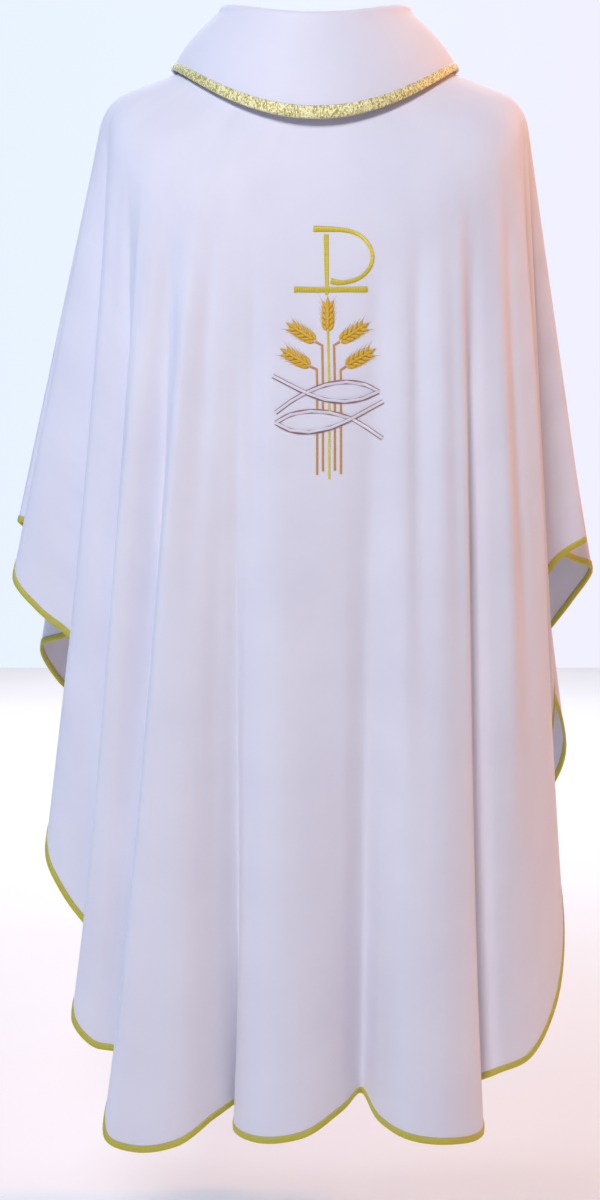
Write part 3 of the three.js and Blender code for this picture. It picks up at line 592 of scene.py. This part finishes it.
# %% The monogram
BOWL = [(-16, 117), (-4, 116.9), (11, 116.4), (22, 115.2), (32, 112), (40, 107), (46, 100),
        (50, 91), (50.6, 84), (48.6, 76), (43, 67.6), (35, 61.4), (25, 57.8), (13, 56.4),
        (3.4, 58.2)]
bowl = stitched_line("monogram_bowl_gold", BOWL,
                     [7.2, 6.6, 5.6, 5.0, 4.5, 4.2, 4.2, 4.4, 4.6, 4.6, 4.4, 4.4, 4.8,
                      5.8, 6.8])
stem = stitched_line("monogram_stem_gold", [(-1.6, 110.6), (-1.4, 90), (-1.0, 66), (-0.8, 43)],
                     [6.0, 5.6, 5.0, 3.8])
bar = stitched_line("monogram_bar_gold", [(-38, 48.6), (-14, 48.4), (20, 48.6), (45, 48.9)],
                    [6.6, 6.0, 6.0, 6.6], lift=0.0002)
cross = joined("monogram_cross_gold", [stem, bar])
print("monogram has", len(bowl.data.polygons) + len(cross.data.polygons), "faces")

# %% [markdown]
# An ear of wheat is a double row of pointed grains with a hair-thin awn at each one. One
# grain is made from a sphere and copied up the ear.

# %% The wheat ears
EARS = [
    ("wheat_ear_centre", 0.2, 1.5, 0),
    ("wheat_ear_upper_left", -13.5, -9.5, 58),
    ("wheat_ear_upper_right", 13.5, -9.5, -58),
    ("wheat_ear_lower_left", -19.5, -37.5, 60),
    ("wheat_ear_lower_right", 20.2, -37.5, -60),
]


GRAIN = (2.2, 2.3, 5.2)
EAR_ROWS = 5


def grain_object(name):
    bpy.ops.mesh.primitive_uv_sphere_add(segments=10, ring_count=8, radius=1,
                                         location=(0, 0, 0))
    grain = bpy.context.active_object
    grain.name = name
    bpy.ops.object.mode_set(mode="EDIT")
    bpy.ops.mesh.select_all(action="SELECT")
    bpy.ops.transform.resize(value=GRAIN)
    bpy.ops.object.mode_set(mode="OBJECT")
    for v in grain.data.vertices:
        up = max(0.0, v.co.z / GRAIN[2])
        v.co.x *= 1.0 - 0.85 * up ** 1.3
        v.co.z += 1.3 * up ** 2
    return grain


def lay_shape(piece, x, z, lean, height, lift=0.0):
    """Turn a small flat shape, move it to its place and press it onto the cloth."""
    c, s = math.cos(math.radians(lean)), math.sin(math.radians(lean))
    mesh = piece.data
    across = max(abs(v.co.y) for v in mesh.vertices)
    flat = []
    for v in mesh.vertices:
        px, py, pz = v.co
        flat.append((pz / 1000, px / 4))
        wx, wz = x + px * c - pz * s, z + px * s + pz * c
        place, normal = front_surface(MOTIF.x + wx / 1000, MOTIF.z + wz / 1000)
        v.co = place + normal * (STITCH_FOOT + lift + (1 - py / across) / 2 * height)
    layer = mesh.uv_layers.active or mesh.uv_layers.new(name="stitch")
    layer.name = "stitch"
    for loop in mesh.loops:
        layer.data[loop.index].uv = flat[loop.vertex_index]
    mesh.shade_smooth()
    return piece


def rotated(x, z, lean, px, pz):
    c, s = math.cos(math.radians(lean)), math.sin(math.radians(lean))
    return (x + px * c - pz * s, z + px * s + pz * c)


pattern_grain = grain_object("pattern_grain")


def another_grain():
    grain = pattern_grain.copy()
    grain.data = pattern_grain.data.copy()
    bpy.context.collection.objects.link(grain)
    return grain


wheat = []
for name, x, z, lean in EARS:
    parts = []
    for row in range(EAR_ROWS):
        up = 5.0 + row * 6.3
        wide = 4.3 * (0.86 + 0.24 * math.sin(math.pi * (row / EAR_ROWS + 0.15)))
        for side in (-1, 1):
            gx, gz = rotated(x, z, lean, side * wide, up)
            parts.append(lay_shape(another_grain(), gx, gz, lean - side * 33, 0.0013,
                                   lift=0.00005 * row))
            tip = rotated(x, z, lean, side * (wide + 2.6), up + 4.4)
            end = rotated(x, z, lean, side * (wide + 5.6), up + 10.0)
            parts.append(stitched_line("awn", [tip, end], [0.55, 0.25], height=0.0004,
                                       cells=2, sides=1, smooth=False))
    for up in (8.0, 14.4, 20.7, 27.0, 33.6):
        gx, gz = rotated(x, z, lean, 0, up)
        parts.append(lay_shape(another_grain(), gx, gz, lean, 0.0015, lift=0.0003))
    wheat.append(joined(name + "_gold", parts))
bpy.data.objects.remove(pattern_grain)
print(len(wheat), "ears, each of", len(wheat[0].data.polygons), "faces")

# %% The stalks, in stretches that stop at the fish
STALK = 2.7
STALK_PITCH = 4.0
STALKS = [
    ("lower_left", [(-20.6, -37.7), (-12.2, -41.4), (-11.8, -59)], -76.2, -87.6, -113, -160),
    ("upper_left", [(-14, -10.2), (-6.1, -14.4), (-5.3, -57)], -78.4, -87, -112.8, -156),
    ("centre", [(0.4, 2.4), (1.8, -54.8)], -79.2, -88, -110.8, -165),
    ("upper_right", [(14, -10.2), (7.2, -14.4), (8.1, -53.4)], -80.2, -89, -108.4, -155),
    ("lower_right", [(21.2, -37.7), (14.6, -42.2), (15, -52.6)], -80.2, -91.4, -104.9, -159),
]


def filled(points):
    """The same corners with a point every few millimetres, so the line follows the cloth."""
    out = [points[0]]
    for (x0, z0), (x1, z1) in zip(points[:-1], points[1:]):
        count = max(1, round(math.dist((x0, z0), (x1, z1)) / STALK_PITCH))
        out += [(x0 + (x1 - x0) * n / count, z0 + (z1 - z0) * n / count)
                for n in range(1, count + 1)]
    return out


stalks = []
for name, top_line, middle_top, middle_end, foot_top, foot_end in STALKS:
    x = top_line[-1][0]
    for part, line in (("top", top_line), ("middle", [(x, middle_top), (x, middle_end)]),
                       ("foot", [(x, foot_top), (x, foot_end)])):
        piece = stitched_line(f"stalk_{name}_{part}_thread", filled(line), [STALK],
                              height=0.0008, smooth=False)
        stalks.append((name, part, piece))
print(len(stalks), "stretches of stalk")

# %% The two fish
FISH_WIDTH = 4.9
UPPER_FISH = [
    [(58, -66.3), (42, -58.5), (21, -55.6), (-3, -59.2), (-24.4, -67.8), (-42, -78),
     (-58.5, -90.2)],
    [(58, -66.3), (38, -74.6), (19, -77.6), (-3, -75.4), (-24.4, -67.8), (-43, -58.6),
     (-61.5, -49)],
]
LOWER_FISH = [
    [(-58.6, -101.6), (-42, -92.6), (-19, -88.6), (3, -90.2), (26.8, -97), (44, -107),
     (62, -118.8)],
    [(-58.6, -101.6), (-42, -109.8), (-21, -112), (3, -107.2), (26.8, -97), (44, -87.4),
     (63, -77.4)],
]
fish = []
for name, lines in (("fish_upper", UPPER_FISH), ("fish_lower", LOWER_FISH)):
    pair = [stitched_line(f"{name}_{n}", line, [FISH_WIDTH], cells=14, lift=0.0002 * n)
            for n, line in enumerate(lines)]
    fish.append(joined(name + "_silver", pair))
print("the fish have", sum(len(f.data.polygons) for f in fish), "faces")

# %% [markdown]
# The finishes come next. The crepe is a fine uneven weave of white yarn: nearly matt, with
# a faint bloom of fibre at grazing angles. Weave, stitch and glitter are made once as
# groups of shader nodes, each with the values that differ from one finish to the next.

# %% Helpers for shader nodes
def new_group(name, inputs, outputs):
    group = bpy.data.node_groups.new(name, "ShaderNodeTree")
    for label, kind, value in inputs:
        socket = group.interface.new_socket(name=label, in_out="INPUT", socket_type=kind)
        if value is not None:
            socket.default_value = value
    for label, kind in outputs:
        group.interface.new_socket(name=label, in_out="OUTPUT", socket_type=kind)
    return group, group.nodes.new("NodeGroupInput"), group.nodes.new("NodeGroupOutput")


def node(tree, kind, **settings):
    made = tree.nodes.new(kind)
    for key, value in settings.items():
        setattr(made, key, value)
    return made


# %% Weave: crossing yarns with uneven thickness
weave, w_in, w_out = new_group(
    "crepe weave",
    [("Map", "NodeSocketVector", None), ("Yarns per metre", "NodeSocketFloat", 1100.0),
     ("Unevenness", "NodeSocketFloat", 0.6), ("Cloudiness", "NodeSocketFloat", 0.5)],
    [("Height", "NodeSocketFloat"), ("Shade", "NodeSocketFloat")])
link = weave.links.new
spread = node(weave, "ShaderNodeVectorMath", operation="SCALE")
link(w_in.outputs["Map"], spread.inputs[0])
link(w_in.outputs["Yarns per metre"], spread.inputs["Scale"])
yarn = node(weave, "ShaderNodeTexNoise", noise_dimensions="3D")
yarn.inputs["Scale"].default_value = 1.0
yarn.inputs["Detail"].default_value = 2.0
link(spread.outputs[0], yarn.inputs["Vector"])
warp = node(weave, "ShaderNodeTexWave", wave_type="BANDS", bands_direction="X")
warp.inputs["Scale"].default_value = 0.5
weft = node(weave, "ShaderNodeTexWave", wave_type="BANDS", bands_direction="Y")
weft.inputs["Scale"].default_value = 0.5
for wave in (warp, weft):
    link(spread.outputs[0], wave.inputs["Vector"])
crossing = node(weave, "ShaderNodeMath", operation="MULTIPLY")
link(warp.outputs["Fac"], crossing.inputs[0])
link(weft.outputs["Fac"], crossing.inputs[1])
uneven = node(weave, "ShaderNodeMath", operation="MULTIPLY_ADD")
link(yarn.outputs["Fac"], uneven.inputs[0])
link(w_in.outputs["Unevenness"], uneven.inputs[1])
link(crossing.outputs[0], uneven.inputs[2])
link(uneven.outputs[0], w_out.inputs["Height"])
cloud = node(weave, "ShaderNodeTexNoise", noise_dimensions="3D")
cloud.inputs["Scale"].default_value = 9.0
cloud.inputs["Detail"].default_value = 4.0
link(w_in.outputs["Map"], cloud.inputs["Vector"])
shade = node(weave, "ShaderNodeMath", operation="MULTIPLY")
link(cloud.outputs["Fac"], shade.inputs[0])
link(w_in.outputs["Cloudiness"], shade.inputs[1])
link(shade.outputs[0], w_out.inputs["Shade"])
print("group", weave.name, "with", len(weave.nodes), "nodes")

# %% Satin stitch: threads lying side by side across the line
satin, s_in, s_out = new_group(
    "satin stitch",
    [("Map", "NodeSocketVector", None), ("Threads per metre", "NodeSocketFloat", 2400.0),
     ("Wander", "NodeSocketFloat", 1.2), ("Slant", "NodeSocketFloat", 0.9)],
    [("Height", "NodeSocketFloat"), ("Tone", "NodeSocketFloat"), ("Edge", "NodeSocketFloat")])
link = satin.links.new
apart = node(satin, "ShaderNodeSeparateXYZ")
link(s_in.outputs["Map"], apart.inputs[0])
slanted = node(satin, "ShaderNodeMath", operation="MULTIPLY")
link(apart.outputs["Y"], slanted.inputs[0])
link(s_in.outputs["Slant"], slanted.inputs[1])
scaled = node(satin, "ShaderNodeMath", operation="MULTIPLY_ADD")
link(apart.outputs["X"], scaled.inputs[0])
link(s_in.outputs["Threads per metre"], scaled.inputs[1])
link(slanted.outputs[0], scaled.inputs[2])
along = node(satin, "ShaderNodeCombineXYZ")
link(scaled.outputs[0], along.inputs["X"])
threads = node(satin, "ShaderNodeTexWave", wave_type="BANDS", bands_direction="X")
threads.inputs["Scale"].default_value = 0.32
threads.inputs["Detail"].default_value = 2.0
link(along.outputs[0], threads.inputs["Vector"])
link(s_in.outputs["Wander"], threads.inputs["Distortion"])
link(threads.outputs["Fac"], s_out.inputs["Height"])
single = node(satin, "ShaderNodeTexNoise", noise_dimensions="3D")
single.inputs["Scale"].default_value = 0.7
link(along.outputs[0], single.inputs["Vector"])
link(single.outputs["Fac"], s_out.inputs["Tone"])
edge = node(satin, "ShaderNodeMath", operation="ABSOLUTE")
link(apart.outputs["Y"], edge.inputs[0])
rim_mask = node(satin, "ShaderNodeMapRange")
rim_mask.inputs["From Min"].default_value = 0.25
rim_mask.inputs["From Max"].default_value = 0.36
link(edge.outputs[0], rim_mask.inputs["Value"])
link(rim_mask.outputs[0], s_out.inputs["Edge"])
print("group", satin.name, "with", len(satin.nodes), "nodes")

# %% Glitter: small flakes, each with its own height and its own tone; the tone is painted glint, standing in for the way each flake catches the light
glitter, g_in, g_out = new_group(
    "glitter flakes",
    [("Map", "NodeSocketVector", None), ("Flakes per metre", "NodeSocketFloat", 900.0)],
    [("Height", "NodeSocketFloat"), ("Tone", "NodeSocketFloat")])
link = glitter.links.new
flakes = node(glitter, "ShaderNodeTexVoronoi", feature="F1")
link(g_in.outputs["Map"], flakes.inputs["Vector"])
link(g_in.outputs["Flakes per metre"], flakes.inputs["Scale"])
grey = node(glitter, "ShaderNodeRGBToBW")
link(flakes.outputs["Color"], grey.inputs[0])
link(grey.outputs[0], g_out.inputs["Tone"])
link(flakes.outputs["Distance"], g_out.inputs["Height"])
print("group", glitter.name, "with", len(glitter.nodes), "nodes")


# %% The finishes themselves
def new_material(name, roughness, metallic=0.0, sheen=0.0, specular=0.5):
    material = bpy.data.materials.new(name)
    material.use_nodes = True
    tree = material.node_tree
    shader = tree.nodes["Principled BSDF"]
    shader.inputs["Roughness"].default_value = roughness
    shader.inputs["Metallic"].default_value = metallic
    shader.inputs["Sheen Weight"].default_value = sheen
    shader.inputs["Sheen Roughness"].default_value = 0.45
    shader.inputs["Specular IOR Level"].default_value = specular
    return material, tree, shader


def placed_group(tree, group, coordinate, **values):
    made = node(tree, "ShaderNodeGroup", node_tree=group)
    tree.links.new(coordinate, made.inputs["Map"])
    for key, value in values.items():
        made.inputs[key.replace("_", " ")].default_value = value
    return made


def colour_between(tree, factor, dark, light, low=0.3, high=0.7):
    ramp = node(tree, "ShaderNodeValToRGB")
    ramp.color_ramp.elements[0].position = low
    ramp.color_ramp.elements[0].color = (*dark, 1)
    ramp.color_ramp.elements[1].position = high
    ramp.color_ramp.elements[1].color = (*light, 1)
    tree.links.new(factor, ramp.inputs["Fac"])
    return ramp.outputs["Color"]


def bumped(tree, shader, height, strength, distance):
    bump = node(tree, "ShaderNodeBump")
    bump.inputs["Strength"].default_value = strength
    bump.inputs["Distance"].default_value = distance
    tree.links.new(height, bump.inputs["Height"])
    tree.links.new(bump.outputs[0], shader.inputs["Normal"])


def woven(name, dark, light, roughness, sheen, yarns, strength):
    material, tree, shader = new_material(name, roughness, sheen=sheen, specular=0.3)
    coordinate = node(tree, "ShaderNodeUVMap", uv_map="thread").outputs[0]
    cloth = placed_group(tree, weave, coordinate, Yarns_per_metre=yarns, Cloudiness=1.0)
    tree.links.new(colour_between(tree, cloth.outputs["Shade"], dark, light),
                   shader.inputs["Base Color"])
    bumped(tree, shader, cloth.outputs["Height"], strength, 0.0003)
    return material


def threaded(name, dark, light, roughness, metallic, rim=None):
    material, tree, shader = new_material(name, roughness, metallic=metallic, sheen=0.1)
    coordinate = node(tree, "ShaderNodeUVMap", uv_map="stitch").outputs[0]
    stitches = placed_group(tree, satin, coordinate, Threads_per_metre=2400.0)
    # Each thread gets its own tone between the dark and the light colour: partly the thread's
    # own tone, partly painted glint for the sparkle of metal thread.
    colour = colour_between(tree, stitches.outputs["Tone"], dark, light, 0.36, 0.62)
    if rim:
        mix = node(tree, "ShaderNodeMix", data_type="RGBA")
        tree.links.new(stitches.outputs["Edge"], mix.inputs["Factor"])
        tree.links.new(colour, mix.inputs["A"])
        mix.inputs["B"].default_value = (*rim, 1)
        colour = mix.outputs["Result"]
    tree.links.new(colour, shader.inputs["Base Color"])
    bumped(tree, shader, stitches.outputs["Height"], 0.5, 0.0002)
    return material


white_crepe = woven("white crepe", (0.82, 0.81, 0.88), (0.87, 0.86, 0.92), 0.58, 0.25,
                    1300.0, 0.12)
lining = woven("white lining", (0.74, 0.74, 0.76), (0.80, 0.80, 0.82), 0.75, 0.15, 900.0, 0.25)
bright_gold = threaded("bright gold thread", (0.62, 0.44, 0.01), (1.0, 0.86, 0.09), 0.32, 0.22)
wheat_gold = threaded("wheat gold thread", (0.66, 0.36, 0.01), (1.0, 0.62, 0.04), 0.46, 0.12)
straw = threaded("straw thread", (0.56, 0.25, 0.06), (0.80, 0.42, 0.13), 0.5, 0.1)
silver = threaded("silver thread", (0.80, 0.77, 0.84), (1.0, 0.98, 1.0), 0.36, 0.12,
                  rim=(0.36, 0.17, 0.19))

gold_edge, tree, shader = new_material("gold binding cloth", 0.45, metallic=0.2, sheen=0.1)
coordinate = node(tree, "ShaderNodeUVMap", uv_map="thread").outputs[0]
cloth = placed_group(tree, weave, coordinate, Yarns_per_metre=1600.0, Unevenness=0.9,
                     Cloudiness=1.0)
tree.links.new(colour_between(tree, cloth.outputs["Height"], (0.44, 0.40, 0.03),
                              (0.72, 0.66, 0.09), 0.2, 0.8), shader.inputs["Base Color"])
bumped(tree, shader, cloth.outputs["Height"], 0.45, 0.0003)

glitter_gold, tree, shader = new_material("glitter braid", 0.36, metallic=0.12)
coordinate = node(tree, "ShaderNodeUVMap", uv_map="thread").outputs[0]
painted_glint_specks = placed_group(tree, glitter, coordinate, Flakes_per_metre=700.0)
# The tone of each flake, from dark gold to pale gold, is painted glint: it stands in for the
# light that each flake catches.
tree.links.new(colour_between(tree, painted_glint_specks.outputs["Tone"], (0.42, 0.36, 0.05),
                              (1.0, 0.93, 0.50), 0.22, 0.62), shader.inputs["Base Color"])
bumped(tree, shader, painted_glint_specks.outputs["Height"], 0.9, 0.0006)
print("finishes:", len(bpy.data.materials))


# %% [markdown]
# Each piece is given its finish and rides on the one body of the garment, and the plain
# pieces it stands for are hidden.

# %% Dress the pieces
def finish_piece(piece, material, slot, *stands_for):
    piece.data.materials.clear()
    piece.data.materials.append(material)
    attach(piece, "root")
    if stands_for:
        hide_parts(*stands_for)


finish_piece(front_cloth, white_crepe, "white_crepe", "front_panel")
finish_piece(back_cloth, white_crepe, "white_crepe", "back_panel")
finish_piece(front_edge, gold_edge, "gold_binding", "front_edge_binding")
finish_piece(back_edge, gold_edge, "gold_binding", "back_edge_binding")
finish_piece(collar_fall, white_crepe, "white_crepe", "collar_fall", "collar_interfacing")
finish_piece(collar_stand, white_crepe, "white_crepe", "collar_stand")
finish_piece(braid, glitter_gold, "gold_braid", "collar_braid")
finish_piece(neck_facing, lining, "lining_cloth", "neck_facing")
finish_piece(left_tape, lining, "lining_cloth", "left_shoulder_seam_tape")
finish_piece(right_tape, lining, "lining_cloth", "right_shoulder_seam_tape")
finish_piece(backing, lining, "lining_cloth", "embroidery_backing")
finish_piece(bowl, bright_gold, "bright_gold_thread", "monogram_bowl")
finish_piece(cross, bright_gold, "bright_gold_thread", "monogram_cross")
for ear, (name, *_) in zip(wheat, EARS):
    finish_piece(ear, wheat_gold, "wheat_thread", name)
for name, part, piece in stalks:
    if name == "centre":
        finish_piece(piece, bright_gold, "bright_gold_thread", f"stalk_{name}_{part}")
    else:
        finish_piece(piece, straw, "straw_thread", f"stalk_{name}_{part}")
for piece, name in zip(fish, ("fish_upper", "fish_lower")):
    finish_piece(piece, silver, "silver_thread", name)

print("pieces dressed")

# %% [markdown]
# The garment hangs as on a form that isn't shown, above a plain pale floor. Soft light
# comes from the front, cooler on the left and warmer on the right.

# %% Floor, light and camera
bpy.ops.object.select_all(action="DESELECT")
bpy.ops.mesh.primitive_plane_add(size=12, location=(0, 2.0, -1.43))
floor = bpy.context.active_object
floor.name = "studio_floor"
floor_finish, tree, shader = new_material("pale floor", 0.8)
spread = node(tree, "ShaderNodeTexNoise")
spread.inputs["Scale"].default_value = 1.5
tree.links.new(node(tree, "ShaderNodeTexCoord").outputs["Object"], spread.inputs["Vector"])
tree.links.new(colour_between(tree, spread.outputs["Fac"], (0.92, 0.92, 0.92),
                              (0.95, 0.95, 0.95)), shader.inputs["Base Color"])
floor.data.materials.append(floor_finish)

world = bpy.data.worlds.new("studio")
world.use_nodes = True
sky = world.node_tree
direction = node(sky, "ShaderNodeSeparateXYZ")
sky.links.new(node(sky, "ShaderNodeTexCoord").outputs["Generated"], direction.inputs[0])
across = node(sky, "ShaderNodeMapRange")
across.inputs["From Min"].default_value = -1.0
sky.links.new(direction.outputs["X"], across.inputs["Value"])
tint = node(sky, "ShaderNodeValToRGB")
tint.color_ramp.elements[0].color = (0.50, 0.66, 1.0, 1)
tint.color_ramp.elements[1].color = (1.0, 0.50, 0.36, 1)
middle = tint.color_ramp.elements.new(0.5)
middle.color = (0.74, 0.80, 1.0, 1)
sky.links.new(across.outputs[0], tint.inputs["Fac"])
behind = node(sky, "ShaderNodeMapRange", interpolation_type="SMOOTHSTEP")
behind.inputs["From Min"].default_value = 0.45
behind.inputs["From Max"].default_value = 0.9
behind.inputs["To Min"].default_value = 0.24
behind.inputs["To Max"].default_value = 1.15
sky.links.new(direction.outputs["Y"], behind.inputs["Value"])
backdrop = sky.nodes["Background"]
sky.links.new(tint.outputs["Color"], backdrop.inputs["Color"])
sky.links.new(behind.outputs[0], backdrop.inputs["Strength"])
bpy.context.scene.world = world


def soft_light(name, place, aim, size, power, colour):
    bpy.ops.object.light_add(type="AREA", location=place)
    light = bpy.context.active_object
    light.name = name
    light.data.size = size
    light.data.energy = power
    light.data.color = colour
    direction = Vector(aim) - Vector(place)
    light.rotation_euler = direction.to_track_quat("-Z", "Y").to_euler()
    return light


soft_light("cool_left", (-3.2, -0.4, 0.2), (0, 0, -0.6), 0.9, 13, (0.20, 0.52, 1.0))
soft_light("warm_right", (2.2, 0.7, 0.9), (0.05, 0, -0.1), 0.7, 34, (1.0, 0.42, 0.16))
soft_light("front_key", (-0.6, -2.3, 1.5), (0, 0, -0.4), 0.8, 56, (0.89, 0.90, 1.0))
soft_light("floor_wash", (0, 5.0, 2.6), (0, 5.2, -1.43), 6.0, 260, (0.97, 0.97, 1.0))

bpy.ops.object.camera_add(location=(-0.018, -2.9, -0.45),
                          rotation=(math.radians(90 - 3.53), 0, 0))
camera = bpy.context.active_object
camera.name = "viewpoint"
camera.data.sensor_width = 36
camera.data.lens = 72.51
bpy.context.scene.camera = camera
bpy.context.scene.view_settings.view_transform = "Standard"
print("lens", round(camera.data.lens, 1), "mm")
